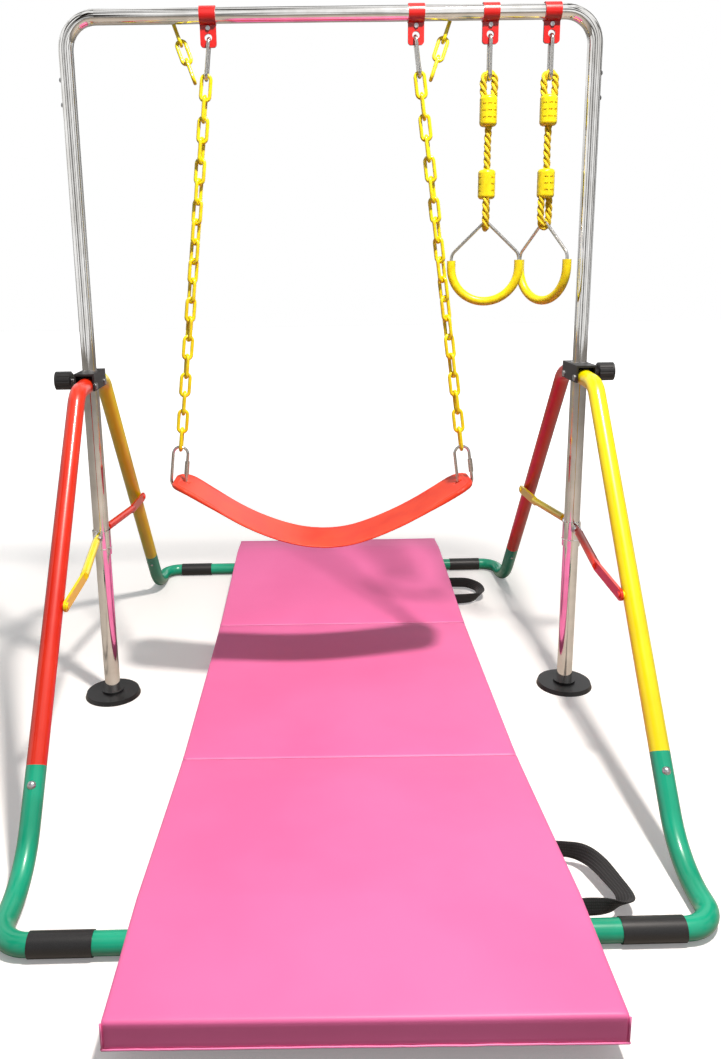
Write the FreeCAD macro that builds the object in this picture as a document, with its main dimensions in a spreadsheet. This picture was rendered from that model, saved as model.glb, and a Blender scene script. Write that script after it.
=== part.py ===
"""Folding gymnastics kip bar with a belt swing, two rings and a tri-fold mat.

Frame: X across the bar, Y from the front (-) to the back (+), Z up, millimetres.
The origin is on the floor, under the middle of the whole object.
"""
import FreeCAD, Part
import math
import os
from FreeCAD import Placement, Rotation, Vector

doc = FreeCAD.newDocument("kip_bar")

# ---------------------------------------------------------------- driving sizes
SIZES = [
    # posts, feet and the telescoping bar
    ("post_spacing", 990), ("post_line", 32.5), ("post_diameter", 32), ("tube_wall", 1.5),
    ("slide_gap", 0.5), ("post_foot", 6), ("post_top", 710), ("disc_diameter", 118),
    ("disc_thickness", 13), ("bar_height", 1363), ("bar_bend_radius", 58), ("joint_drop", 130),
    ("upright_foot", 420), ("height_step", 60), ("height_hole", 9), ("spigot_length", 100),
    ("fit_gap", 0.3), ("running_gap", 0.05),
    # clamp blocks and plungers
    ("post_stub", 2), ("block_height", 34), ("block_cheek", 3.5), ("block_rim", 12),
    ("block_roof", 4), ("post_web", 3.5), ("slot_gap", 0.5), ("plunger_rise", 16),
    ("plunger_diameter", 8), ("knob_diameter", 37), ("knob_length", 33), ("knob_gap", 15),
    ("housing_diameter", 18),
    # legs and floor tubes
    ("hinge_gap", 2.5), ("hinge_rise", 9), ("hinge_pin", 8), ("leg_diameter", 32),
    ("knee_reach", 69), ("knee_drop", 4), ("knee_radius", 50), ("leg_slant", 38),
    ("leg_joint_height", 146), ("leg_spigot", 55), ("toe_length", 133.2), ("sleeve_wall", 1.5),
    ("sleeve_length", 88), ("sleeve_offset", 403), ("low_bend_radius", 150),
    ("corner_radius", 45), ("leg_bolt", 6),
    # collars and spreader links
    ("collar_wall", 2.5), ("collar_foot", 322), ("collar_length", 53), ("ear_reach", 15.5),
    ("ear_drop", 9), ("ear_thickness", 3), ("tongue_thickness", 5), ("link_pin", 6),
    ("link_diameter", 16), ("link_fall", 16), ("link_flat_length", 125.4), ("boss_rise", 1.5),
    # hangers and snap hooks
    ("hanger_width", 30), ("strap_thickness", 3), ("pivot_drop", 36), ("tab_rim", 5),
    ("hanger_screw", 5), ("screw_drop", 8), ("hanger_eye", 14), ("swing_hanger_middle", -35.5),
    ("swing_hanger_half", 193.5), ("left_ring_line", 297), ("right_ring_line", 412),
    ("snap_wire", 7), ("snap_play", 3.4),
    # swing
    ("chain_wire", 7), ("chain_play", 3), ("chain_start", 76), ("chain_links", 19),
    ("quick_wire", 6), ("quick_width", 36), ("quick_length", 92), ("quick_nut_diameter", 9.5),
    ("quick_nut_length", 27), ("seat_width", 136), ("seat_thickness", 4.5),
    ("seat_end_thickness", 8.5), ("seat_corner", 40), ("seat_slot_length", 17),
    # ring ropes and rings
    ("rope_diameter", 14), ("eye_drop", 67), ("bead_drop", 28), ("bead_length", 56),
    ("bead_spacing", 78), ("lower_bead_length", 55), ("ring_drop", 44), ("shoulder_drop", 60),
    ("middle_drop", 85.5), ("ring_radius", 65.5), ("ring_wire_diameter", 6),
    ("grip_diameter", 17), ("left_ring_turn", -14), ("right_ring_turn", -61),
    # mat
    ("mat_width", 609.6), ("panel_length", 609.6), ("mat_thickness", 38), ("mat_x", 12),
    ("mat_turn", -0.86), ("panel_gap", 1.2), ("mat_rise_gap", 0.5), ("front_tip_drop", 2),
    ("rear_tip_drop", 9), ("handle_width", 25), ("handle_thickness", 2.5),
    ("handle_reach", 80), ("handle_span", 128), ("front_handle_y", -616), ("front_handle_foot", 14),
    ("rear_handle_y", 565), ("rear_handle_foot", 8),
]

# Sizes that follow from the ones above, each fit through its own named clearance.
FITS = [
    ("bar_diameter", "post_diameter - 2 * tube_wall - 2 * slide_gap"),
    ("joint_height", "bar_height - joint_drop"),
    ("slot_width", "leg_diameter + 2 * slot_gap"),
    ("block_width", "max(slot_width; post_diameter + 1) + 2 * block_cheek"),
    ("hinge_offset", "(post_diameter + leg_diameter) / 2 + post_web + hinge_gap"),
    ("block_length", "2 * (hinge_offset + block_rim)"),
    ("block_top", "post_top - post_stub"),
    ("block_foot", "block_top - block_height"),
    ("plunger_height", "block_foot + plunger_rise"),
    ("hinge_height", "block_foot + hinge_rise"),
    ("knee_offset", "hinge_offset + knee_reach"),
    ("knee_height", "hinge_height - knee_drop"),
    ("sleeve_diameter", "leg_diameter + 2 * sleeve_wall"),
    ("floor_height", "sleeve_diameter / 2"),
    ("slant_foot", "knee_offset + (knee_height - floor_height) * tan(leg_slant)"),
    ("base_half_depth", "slant_foot + toe_length"),
    ("collar_diameter", "post_diameter + 2 * collar_wall"),
    ("collar_top", "collar_foot + collar_length"),
    ("ear_offset", "collar_diameter / 2 + ear_reach"),
    ("ear_height", "collar_top - ear_drop"),
    ("link_joint_height", "ear_height - link_fall"),
    ("link_flat_shift", "leg_diameter / 2 + boss_rise + slot_gap + tongue_thickness / 2"),
    ("hanger_pivot", "bar_height - bar_diameter / 2 - pivot_drop"),
    ("hanger_foot", "hanger_pivot - tab_rim"),
    ("hanger_screw_height", "bar_height - bar_diameter / 2 - screw_drop"),
    ("snap_radius", "snap_wire / 2 + strap_thickness + snap_play"),
    ("chain_width", "3 * chain_wire + chain_play"),
    ("chain_top", "hanger_pivot - chain_start"),
    ("seat_slot_width", "quick_wire + 2"),
    ("eye_height", "hanger_pivot - eye_drop"),
    ("eye_radius", "(rope_diameter + snap_wire) / 2 + fit_gap"),
    ("upper_bead_top", "eye_height - bead_drop"),
    ("upper_bead_foot", "upper_bead_top - bead_length"),
    ("lower_bead_top", "upper_bead_foot - bead_spacing"),
    ("lower_bead_foot", "lower_bead_top - lower_bead_length"),
    ("bead_diameter", "2 * rope_diameter + 5"),
    ("ring_top", "lower_bead_foot - ring_drop"),
    ("ring_shoulder", "ring_top - shoulder_drop"),
    ("ring_middle", "ring_top - middle_drop"),
]

sheet = doc.addObject("Spreadsheet::Sheet", "dims")
for row, (alias, value) in enumerate(SIZES, 1):
    sheet.set(f"A{row}", alias)
    sheet.set(f"B{row}", str(value))
    sheet.setAlias(f"B{row}", alias)
for row, (alias, formula) in enumerate(FITS, len(SIZES) + 1):
    sheet.set(f"A{row}", alias)
    sheet.set(f"B{row}", "=" + formula)
    sheet.setAlias(f"B{row}", alias)
doc.recompute()


def size(alias):
    """A driving size, read from the sheet."""
    return float(sheet.get(alias))


SIDES = (("left", -1), ("right", 1))
ENDS = (("front", -1), ("rear", 1))
UP = Rotation()
ALONG_X = Rotation(Vector(0, 1, 0), 90)
ALONG_Y = Rotation(Vector(1, 0, 0), -90)
nodes = []


def keep(item, label):
    """Name a finished sub-part and list it for writing."""
    item.Label = label
    nodes.append(item)
    return item


def place(item, x, y, z, turn=UP):
    """Turn an object and tie its place to the sheet."""
    item.Placement = Placement(Vector(), turn)
    for axis, formula in zip("xyz", (x, y, z)):
        item.setExpression(f"Placement.Base.{axis}", formula)
    return item


def rod(name, diameter, length, x, y, z, turn=UP):
    """A round bar from its base point along its own axis."""
    item = doc.addObject("Part::Cylinder", name)
    item.setExpression("Radius", f"({diameter}) / 2")
    item.setExpression("Height", length)
    return place(item, x, y, z, turn)


def block(name, length, width, height, x, y, z):
    """A box from its lowest corner."""
    item = doc.addObject("Part::Box", name)
    item.setExpression("Length", length)
    item.setExpression("Width", width)
    item.setExpression("Height", height)
    return place(item, x, y, z)


def cut(name, base, tool):
    item = doc.addObject("Part::Cut", name)
    item.Base = base
    item.Tool = tool
    return item


def join(name, pieces):
    item = doc.addObject("Part::MultiFuse", name)
    item.Shapes = pieces
    return item


def tube(name, diameter, bore, length, x, y, z, turn=UP):
    """A round tube: a bar less its bore."""
    outside = rod(name + "_outside", diameter, length, x, y, z, turn)
    inside = rod(name + "_bore", bore, length, x, y, z, turn)
    return cut(name, outside, inside)


def solid(label, shape):
    """A sub-part whose shape is worked out in code from the sheet."""
    item = doc.addObject("Part::Feature", label)
    item.Shape = shape
    return keep(item, label)


def group(label, pieces):
    """Several separate solids in one node."""
    return solid(label, Part.makeCompound(pieces))


def half(sign):
    """The X of a post, as a formula."""
    return f"({sign}) * dims.post_spacing / 2"


# ---------------------------------------------------------------- code shapes
def route(points, radii):
    """A wire of straight runs joined by tangent arcs, one radius for each inner point."""
    edges = []
    start = points[0]
    for before, corner, after, radius in zip(points, points[1:], points[2:], radii):
        into = (before - corner).normalize()
        out = (after - corner).normalize()
        turn = math.pi - into.getAngle(out)
        reach = radius * math.tan(turn / 2)
        first = corner + into * reach
        last = corner + out * reach
        middle_way = (into + out).normalize()
        middle = corner + middle_way * (radius / math.cos(turn / 2) - radius)
        if (first - start).Length > 1e-6:
            edges.append(Part.LineSegment(start, first).toShape())
        edges.append(Part.Arc(first, middle, last).toShape())
        start = last
    edges.append(Part.LineSegment(start, points[-1]).toShape())
    return Part.Wire(edges)


def sweep(wire, diameter):
    """A round bar along a wire."""
    first = wire.OrderedEdges[0]
    start = first.valueAt(first.FirstParameter)
    heading = first.tangentAt(first.FirstParameter)
    if (start - wire.OrderedVertexes[0].Point).Length > 1e-6:
        start = first.valueAt(first.LastParameter)
        heading = first.tangentAt(first.LastParameter) * -1
    ring = Part.Wire([Part.makeCircle(diameter / 2, start, heading)])
    return wire.makePipeShell([ring], True, False)


def pipe(points, radii, diameter, bore=0):
    """A bent tube, or a bent bar when it has no bore."""
    wire = route(points, radii)
    outside = sweep(wire, diameter)
    if not bore:
        return outside
    return outside.cut(sweep(wire, bore))


def cylinder(diameter, start, end):
    """A round bar between two points."""
    along = end - start
    return Part.makeCylinder(diameter / 2, along.Length, start, along)


def moved(shape, shift, turn=UP, centre=Vector()):
    """A copy of a shape, turned about a centre and then shifted."""
    result = shape.copy()
    result.Placement = Placement(shift, turn, centre).multiply(result.Placement)
    return result


def stadium(length, width, thickness):
    """A flat bar with round ends, standing on z = 0, its length along X."""
    run = length - width
    bar = Part.makeBox(run, width, thickness, Vector(-run / 2, -width / 2, 0))
    ends = [Part.makeCylinder(width / 2, thickness, Vector(x, 0, 0)) for x in (-run / 2, run / 2)]
    return bar.fuse(ends).removeSplitter()


def half_ring(bend, wire):
    """Half of a round-section ring, standing in the X-Z plane above z = 0."""
    ring = Part.makeTorus(bend, wire / 2, Vector(), Vector(0, 0, 1), -180, 180, 180)
    return moved(ring, Vector(), Rotation(Vector(1, 0, 0), 90))


def oval_ring(inner_length, width, wire):
    """A chain link in the X-Z plane, its length along Z, about its own middle."""
    bend = (width - wire) / 2
    rise = inner_length / 2 + wire / 2 - bend
    sides = [Part.makeCylinder(wire / 2, 2 * rise, Vector(x, 0, -rise)) for x in (-bend, bend)]
    top = moved(half_ring(bend, wire), Vector(0, 0, rise))
    foot = moved(top, Vector(), Rotation(Vector(0, 1, 0), 180))
    return sides[0].fuse([sides[1], top, foot]).removeSplitter()


post_x = size("post_spacing") / 2
post_y = size("post_line")
wall = size("tube_wall")

# ---------------------------------------------------------------- posts, feet and clamp blocks
for side, sign in SIDES:
    post = tube(side + "_post_tube", "dims.post_diameter", "dims.post_diameter - 2 * dims.tube_wall",
                "dims.post_top - dims.post_foot", half(sign), "dims.post_line", "dims.post_foot")
    port = rod(side + "_post_port", "dims.plunger_diameter + 2 * dims.fit_gap", "dims.post_diameter",
               half(sign) + (" - dims.post_diameter" if sign < 0 else ""), "dims.post_line",
               "dims.plunger_height", ALONG_X)
    keep(cut(side + "_post", post, port), side + "_post")

    plate = doc.addObject("Part::Cone", side + "_disc_plate")
    plate.setExpression("Radius1", "dims.disc_diameter / 2")
    plate.setExpression("Radius2", "dims.disc_diameter / 2 - 3")
    plate.setExpression("Height", "dims.disc_thickness - 4")
    place(plate, half(sign), "dims.post_line", "0")
    hub = rod(side + "_disc_hub", "dims.post_diameter + 14", "dims.disc_thickness",
              half(sign), "dims.post_line", "0")
    socket = rod(side + "_disc_socket", "dims.post_diameter", "dims.disc_thickness",
                 half(sign), "dims.post_line", "dims.post_foot")
    pad = join(side + "_disc_pad", [plate, hub])
    keep(cut(side + "_foot_disc", pad, socket), side + "_foot_disc")

    body = block(side + "_block_body", "dims.block_width", "dims.block_length",
                 "dims.block_top - dims.block_foot", half(sign) + " - dims.block_width / 2",
                 "dims.post_line - dims.block_length / 2", "dims.block_foot")
    cuts = [rod(side + "_block_bore", "dims.post_diameter", "dims.block_top - dims.block_foot",
                half(sign), "dims.post_line", "dims.block_foot"),
            rod(side + "_block_port", "dims.housing_diameter - 4", "dims.block_width",
                half(sign) + (" - dims.block_width" if sign < 0 else ""), "dims.post_line",
                "dims.plunger_height", ALONG_X)]
    web = "(dims.post_diameter / 2 + dims.post_web)"
    slot_length = f"(dims.block_length / 2 - {web})"
    for end, facing in ENDS:
        low_y = f"dims.post_line + {web}" if facing > 0 else "dims.post_line - dims.block_length / 2"
        cuts.append(block(f"{side}_{end}_slot", "dims.slot_width", slot_length,
                          "dims.block_top - dims.block_roof - dims.block_foot",
                          half(sign) + " - dims.slot_width / 2", low_y, "dims.block_foot"))
        cuts.append(rod(f"{side}_{end}_pin_hole", "dims.hinge_pin", "dims.block_width",
                        half(sign) + " - dims.block_width / 2",
                        f"dims.post_line + ({facing}) * dims.hinge_offset", "dims.hinge_height", ALONG_X))
    keep(cut(side + "_clamp_block", body, join(side + "_block_cuts", cuts)), side + "_clamp_block")

pins = []
for side, sign in SIDES:
    for end, facing in ENDS:
        pin_y = post_y + facing * size("hinge_offset")
        start = sign * post_x - size("block_width") / 2
        shank = cylinder(size("hinge_pin"), Vector(start, pin_y, size("hinge_height")),
                         Vector(start + size("block_width"), pin_y, size("hinge_height")))
        heads = []
        for head_x, way in ((start, -1), (start + size("block_width"), 1)):
            heads.append(cylinder(size("hinge_pin") + 5, Vector(head_x, pin_y, size("hinge_height")),
                                  Vector(head_x + way * 2.5, pin_y, size("hinge_height"))))
        pins.append(shank.fuse(heads).removeSplitter())
group("leg_hinge_pins", pins)

# ---------------------------------------------------------------- plunger housings, pins and pull knobs
PIN_TIP_GAP = 0.5
HOUSING_RIM = 6
PIN_CAP = 8
FLUTES = 12
housings = []
housing_bore = size("plunger_diameter") + 2 * size("fit_gap")
for side, sign in SIDES:
    def axial(distance):
        """A point on the plunger's axis, this far outboard of the post's centre line."""
        return Vector(sign * (post_x + distance), post_y, size("plunger_height"))

    face = size("block_width") / 2
    inside = size("post_diameter") / 2 + PIN_TIP_GAP
    rim = face + HOUSING_RIM
    barrel = cylinder(size("housing_diameter") - 4, axial(inside), axial(rim))
    flange = cylinder(size("housing_diameter"), axial(face), axial(rim))
    bore = cylinder(housing_bore, axial(inside - 1), axial(rim + 1))
    housings.append(barrel.fuse(flange).cut(bore).removeSplitter())

    knob_face = face + size("knob_gap")
    knob_end = knob_face + size("knob_length")
    pin_foot = f"dims.bar_diameter / 2 + {PIN_TIP_GAP}"
    pin_back = f"dims.block_width / 2 + dims.knob_gap + dims.knob_length - {PIN_CAP}"
    pin_start = f"{half(sign)} + {pin_foot}" if sign > 0 else f"{half(sign)} - ({pin_back})"
    keep(rod(side + "_plunger_pin_bar", "dims.plunger_diameter", f"({pin_back}) - ({pin_foot})",
             pin_start, "dims.post_line", "dims.plunger_height", ALONG_X), side + "_plunger_pin")

    knob_radius = size("knob_diameter") / 2
    handle = cylinder(size("knob_diameter"), axial(knob_face + 3), axial(knob_end))
    neck = Part.makeCone(knob_radius - 4, knob_radius, 3, axial(knob_face), Vector(sign, 0, 0))
    grooves = []
    for step in range(FLUTES):
        angle = 2 * math.pi * step / FLUTES
        aside = Vector(0, math.cos(angle), math.sin(angle)) * (knob_radius + 1)
        grooves.append(cylinder(4, axial(knob_face) + aside, axial(knob_end - 4) + aside))
    socket = cylinder(size("plunger_diameter"), axial(knob_face - 1), axial(knob_end - PIN_CAP))
    solid(side + "_knob", handle.fuse(neck).cut(grooves).cut(socket).removeSplitter())
group("plunger_housings", housings)

# ---------------------------------------------------------------- telescoping bar
bar_bore = size("bar_diameter") - 2 * wall
bar_z = size("bar_height")
bar_corners = [Vector(-post_x, post_y, size("joint_height")), Vector(-post_x, post_y, bar_z),
               Vector(post_x, post_y, bar_z), Vector(post_x, post_y, size("joint_height"))]
solid("top_bar", pipe(bar_corners, [size("bar_bend_radius")] * 2, size("bar_diameter"), bar_bore))

for side, sign in SIDES:
    upright = tube(side + "_upright_tube", "dims.bar_diameter", "dims.bar_diameter - 2 * dims.tube_wall",
                   "dims.joint_height - dims.upright_foot", half(sign), "dims.post_line", "dims.upright_foot")
    holes = []
    for step in range(-4, 5):
        hole_start = half(sign) + (" - dims.bar_diameter / 2 - 1" if sign < 0 else " + 1")
        holes.append(rod(f"{side}_height_hole_{step + 4}", "dims.height_hole", "dims.bar_diameter / 2",
                         hole_start, "dims.post_line",
                         f"dims.plunger_height + ({step}) * dims.height_step", ALONG_X))
    keep(cut(side + "_upright", upright, join(side + "_height_holes", holes)), side + "_upright")

spigots = []
screws = []
for side, sign in SIDES:
    centre = Vector(sign * post_x, post_y, size("joint_height"))
    reach = Vector(0, 0, size("spigot_length") / 2)
    outside = cylinder(bar_bore, centre - reach, centre + reach)
    spigots.append(outside.cut(cylinder(bar_bore - 2 * wall, centre - reach, centre + reach)))
    for rise in (22, -22):
        surface = centre + Vector(sign * size("bar_diameter") / 2, 0, rise)
        dome = Part.makeSphere(5.5, surface - Vector(sign * 2.6, 0, 0))
        clip = cylinder(30, surface, surface + Vector(sign * 6, 0, 0))
        screws.append(dome.common(clip))
group("joint_spigots", spigots)
group("joint_screws", screws)

# ---------------------------------------------------------------- hangers on the bar
strap = size("strap_thickness")
hanger_width = size("hanger_width")
loop_radius = size("bar_diameter") / 2
pivot_z = size("hanger_pivot")
screw_z = size("hanger_screw_height")


def hanger(x):
    """A strap bent over the bar whose two plies close into one tab below it."""
    left = x - hanger_width / 2
    loop = Part.makeCylinder(loop_radius + strap, hanger_width, Vector(left, post_y, bar_z), Vector(1, 0, 0))
    tab_top = bar_z - loop_radius + 2
    tab = Part.makeBox(hanger_width, 2 * strap, tab_top - size("hanger_foot"),
                       Vector(left, post_y - strap, size("hanger_foot")))
    seat = Part.makeCylinder(loop_radius, hanger_width, Vector(left, post_y, bar_z), Vector(1, 0, 0))
    shape = loop.fuse(tab).cut(seat)
    corners = [edge for edge in shape.Edges
               if abs(edge.CenterOfMass.z - size("hanger_foot")) < 0.01
               and abs(edge.CenterOfMass.y - post_y) < 0.01]
    shape = shape.makeFillet(6, corners)
    through = Vector(0, 3 * strap, 0)
    # the strip of tab below the eye is what the carabiner turns about
    eye_middle = Vector(x, post_y, 2 * pivot_z - size("hanger_foot") + size("hanger_eye") / 2)
    hole = cylinder(size("hanger_eye"), eye_middle - through, eye_middle + through)
    screw_at = Vector(x, post_y, screw_z)
    screw_hole = cylinder(size("hanger_screw"), screw_at - through, screw_at + through)
    return shape.cut(hole).cut(screw_hole).removeSplitter()


def hanger_bolt(x):
    """A button-head screw and its nut through the two plies."""
    front = Vector(x, post_y - strap, screw_z)
    back = Vector(x, post_y + strap, screw_z)
    head = cylinder(8, front, front - Vector(0, 2.5, 0))
    nut = cylinder(9, back, back + Vector(0, 3.5, 0))
    return cylinder(size("hanger_screw"), front, back).fuse([head, nut]).removeSplitter()


swing_lines = [size("swing_hanger_middle") + sign * size("swing_hanger_half") for side, sign in SIDES]
ring_lines = [size("left_ring_line"), size("right_ring_line")]
group("swing_hangers", [hanger(x) for x in swing_lines])
group("ring_hangers", [hanger(x) for x in ring_lines])
group("hanger_screws", [hanger_bolt(x) for x in swing_lines + ring_lines])

# ---------------------------------------------------------------- carabiners
snap_wire = size("snap_wire")
snap_bend = size("snap_radius")


def snap_hook(foot_z):
    """A carabiner in the Y-Z plane about the hanger pivot: a hook and its gate."""
    low = Vector(0, 0, foot_z + snap_bend - pivot_z)
    sideways = Rotation(Vector(0, 0, 1), 90)
    upper = moved(half_ring(snap_bend, snap_wire), Vector(), sideways)
    lower = moved(moved(upper, Vector(), Rotation(Vector(1, 0, 0), 180)), low)
    spine = cylinder(snap_wire, Vector(0, snap_bend, low.z), Vector(0, snap_bend, 0))
    nose = cylinder(snap_wire, Vector(0, -snap_bend, -6), Vector(0, -snap_bend, 0))
    heel = cylinder(snap_wire, Vector(0, -snap_bend, low.z), Vector(0, -snap_bend, low.z + 5))
    hook = spine.fuse([upper, lower, nose, heel]).removeSplitter()
    gate = cylinder(snap_wire - 1, Vector(0, -snap_bend, low.z + 5.3), Vector(0, -snap_bend, -6.3))
    return [hook, gate]


def lean(shapes, tilt, x):
    """Hang shapes made about the pivot at X, tilted in the X-Z plane."""
    turn = Rotation(Vector(0, 1, 0), tilt)
    return [moved(shape, Vector(x, post_y, pivot_z), turn) for shape in shapes]


# ---------------------------------------------------------------- swing
chain_wire = size("chain_wire")
link_count = int(size("chain_links"))
link_slack = 0.6
quick_wire = size("quick_wire")
quick_inside = size("quick_length") - 2 * quick_wire
quick_slack = 0.3
# where each quick link's lower bend meets the belt: X, and the drop from the hanger pivot
HANG_POINTS = {"left": (-328.9, 846.1), "right": (268.2, 855.3)}
chain_runs = []
snaps = []
quick_links = []
for (side, sign), line_x in zip(SIDES, swing_lines):
    hang_x, hang_drop = HANG_POINTS[side]
    pivot = Vector(line_x, post_y, pivot_z)
    run = Vector(hang_x, post_y, pivot_z - hang_drop) - pivot
    way = run * (1 / run.Length)
    top_link = pivot + way * size("chain_start")
    # the quick link's middle lies quick_reach past the last link, quick_inside / 2 short of the belt
    pitch_run = run.Length - size("chain_start") - quick_inside + quick_slack - link_slack / 2
    pitch = pitch_run / (link_count - 0.5)
    foot_link = top_link + way * (pitch * (link_count - 1))
    down = Rotation(Vector(0, 0, -1), way)

    link = oval_ring(pitch + link_slack, size("chain_width"), chain_wire)
    links = []
    for step in range(link_count):
        # a quarter turn from link to link, less a little, so the last one stands square to the seat's link
        twist = Rotation(Vector(0, 0, 1), step * (90 - 90 / (link_count - 1)))
        links.append(moved(link, top_link + way * (pitch * step), down.multiply(twist)))
    group("swing_chain_" + side, links)

    tilt = math.degrees(math.atan2(-way.x, -way.z))
    snaps += lean(snap_hook(size("chain_top") + pitch / 2 - 4), tilt, line_x)

    quick_reach = (pitch + link_slack + quick_inside) / 2 - quick_slack
    quick_centre = foot_link + way * quick_reach
    ring = oval_ring(quick_inside, size("quick_width"), quick_wire)
    nut_at = Vector((size("quick_width") - quick_wire) / 2, 0, -size("quick_nut_length") / 2)
    nut = Part.makeCylinder(size("quick_nut_diameter") / 2, size("quick_nut_length"), nut_at)
    quick_links.append(moved(ring.fuse(nut).removeSplitter(), quick_centre, down))
group("swing_carabiners", snaps)
group("quick_links", quick_links)

# The belt's upper face as X and drop from the pivots, left to right: stiff ends, a slack middle.
BELT_LINE = [(-337, 831.5), (-320, 833.5), (-300, 843), (-260, 869), (-205, 905), (-138, 937.5),
             (-57, 959.5), (-20, 961.5), (17, 958.5), (80, 940), (160, 903), (215, 870),
             (246, 851), (261, 843.5), (277, 838.5)]
STIFF_RUN = 45
TAPER_RUN = 60
belt_ends = (BELT_LINE[0][0], BELT_LINE[-1][0])
belt_curve = Part.BSplineCurve()
belt_curve.interpolate([Vector(x, 0, pivot_z - drop) for x, drop in BELT_LINE])


def belt_thickness(x):
    """Full thickness near the ends, tapering to the thin flexible middle."""
    from_end = min(x - belt_ends[0], belt_ends[1] - x)
    share = min(max((from_end - STIFF_RUN) / TAPER_RUN, 0), 1)
    return size("seat_end_thickness") + share * (size("seat_thickness") - size("seat_end_thickness"))


upper = []
lower = []
stations = 20
for step in range(stations + 1):
    span = belt_curve.LastParameter - belt_curve.FirstParameter
    along = belt_curve.FirstParameter + span * step / stations
    point = belt_curve.value(along)
    heading = Vector(*belt_curve.tangent(along)[0])
    across = Vector(-heading.z, 0, heading.x).normalize()
    upper.append(point)
    lower.append(point - across * belt_thickness(point.x))
top_curve = Part.BSplineCurve()
top_curve.interpolate(upper)
low_curve = Part.BSplineCurve()
low_curve.interpolate(lower)
outline = Part.Wire([top_curve.toShape(), Part.LineSegment(upper[-1], lower[-1]).toShape(),
                     low_curve.toShape(), Part.LineSegment(lower[0], upper[0]).toShape()])
belt = Part.Face(outline).extrude(Vector(0, size("seat_width"), 0))
belt = moved(belt, Vector(0, post_y - size("seat_width") / 2, 0))
plan_box = belt.BoundBox
plan_height = plan_box.ZLength + 20
plan = Part.makeBox(belt_ends[1] - belt_ends[0], plan_box.YLength, plan_height,
                    Vector(belt_ends[0], plan_box.YMin, plan_box.ZMin - 10))
upright_edges = [edge for edge in plan.Edges if abs(edge.Length - plan_height) < 0.01]
belt = belt.common(plan.makeFillet(size("seat_corner"), upright_edges))
for (side, sign), end_x in zip(SIDES, belt_ends):
    # the strip left between the slot and the end hangs in the quick link
    strip = 16
    slot_middle = end_x - sign * (strip + size("seat_slot_length") / 2)
    slot = stadium(size("seat_slot_length"), size("seat_slot_width"), plan_height)
    belt = belt.cut(moved(slot, Vector(slot_middle, post_y, plan_box.ZMin - 10)))
solid("swing_seat", belt)

# ---------------------------------------------------------------- spare chain behind the bar
TAIL_PITCH = 38.3
TAIL_LINKS = 3
# ends of a tail's middle line: outboard of the hanger, behind the bar's line, above the pivot
TAIL_START = (36, 4, -45)
TAIL_END = (66, 27, 39)
tail_links = []
tail_link = oval_ring(TAIL_PITCH + link_slack, size("chain_width"), chain_wire)
for line_x, sign in zip(swing_lines, (-1, 1)):
    hook = Vector(line_x, post_y, pivot_z)
    start = hook + Vector(sign * TAIL_START[0], TAIL_START[1], TAIL_START[2])
    finish = hook + Vector(sign * TAIL_END[0], TAIL_END[1] - 14 + loop_radius, TAIL_END[2])
    way = (finish - start).normalize()
    up = Rotation(Vector(0, 0, 1), way)
    for step in range(TAIL_LINKS):
        twist = Rotation(Vector(0, 0, 1), 90 * step + 90)
        tail_links.append(moved(tail_link, start + way * (TAIL_PITCH * step), up.multiply(twist)))
group("chain_tails", tail_links)

# ---------------------------------------------------------------- rings
rope = size("rope_diameter")
eye = size("eye_radius")
tuck = rope / 2 + 0.2
ring_wire = size("ring_wire_diameter")
loop_half = ring_wire / 2 + rope / 2 + 0.4
grip_centre = Vector(0, 0, size("ring_middle"))


def rope_route(turn):
    """The rope's corners: the eye in the X-Z plane, the lower loop across the ring's plane."""
    angle = math.radians(turn + 90)
    loop_way = Vector(math.cos(angle), math.sin(angle), 0)
    eye_top = size("eye_height") + eye
    loop_foot = size("ring_top") - ring_wire / 2 - rope / 2 - 0.4
    upper_end = size("upper_bead_top")
    lower_end = size("lower_bead_foot")
    points = [Vector(-tuck, 0, upper_end - 22), Vector(-eye, 0, upper_end + 6),
              Vector(-eye, 0, eye_top), Vector(eye, 0, eye_top),
              Vector(eye, 0, upper_end + 6), Vector(tuck, 0, upper_end - 20),
              Vector(0, 0, size("upper_bead_foot")), Vector(0, 0, size("lower_bead_top")),
              loop_way * tuck + Vector(0, 0, lower_end + 26),
              loop_way * loop_half + Vector(0, 0, lower_end - 4),
              loop_way * loop_half + Vector(0, 0, loop_foot),
              loop_way * -loop_half + Vector(0, 0, loop_foot),
              loop_way * -loop_half + Vector(0, 0, lower_end - 4),
              loop_way * -tuck + Vector(0, 0, lower_end + 22)]
    radii = [60, eye - 0.4, eye - 0.4, 60, 50, 60, 60, 50, 60, loop_half - 0.4, loop_half - 0.4, 60]
    return points, radii


SLOT_DEPTH = 2.4
SLOT_HEIGHT = 2.6
SLOT_LENGTH = 8
SLOT_ANGLES = (50, 90, 130, 230, 270, 310)


def bead(foot, top, bore_top, bore_foot):
    """A barrel bead with three rows of slots, its bore sized for the rope at each end."""
    height = top - foot
    radius = size("bead_diameter") / 2
    barrel = Part.makeCylinder(radius, height, Vector(0, 0, foot))
    rims = [edge for edge in barrel.Edges if edge.Curve.TypeId == "Part::GeomCircle"]
    barrel = barrel.makeFillet(7, rims)
    slots = []
    for share in (0.28, 0.5, 0.72):
        low = foot + height * share - SLOT_HEIGHT / 2
        slot = Part.makeBox(radius, SLOT_LENGTH, SLOT_HEIGHT,
                            Vector(radius - SLOT_DEPTH, -SLOT_LENGTH / 2, low))
        slots += [moved(slot, Vector(), Rotation(Vector(0, 0, 1), angle)) for angle in SLOT_ANGLES]
    barrel = barrel.cut(slots)
    for bore, low in ((bore_foot, foot), (bore_top, foot + height / 2)):
        hole = stadium(bore, rope + 0.4, height / 2 + 0.1)
        barrel = barrel.cut(moved(hole, Vector(0, 0, low)))
    return barrel


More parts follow.
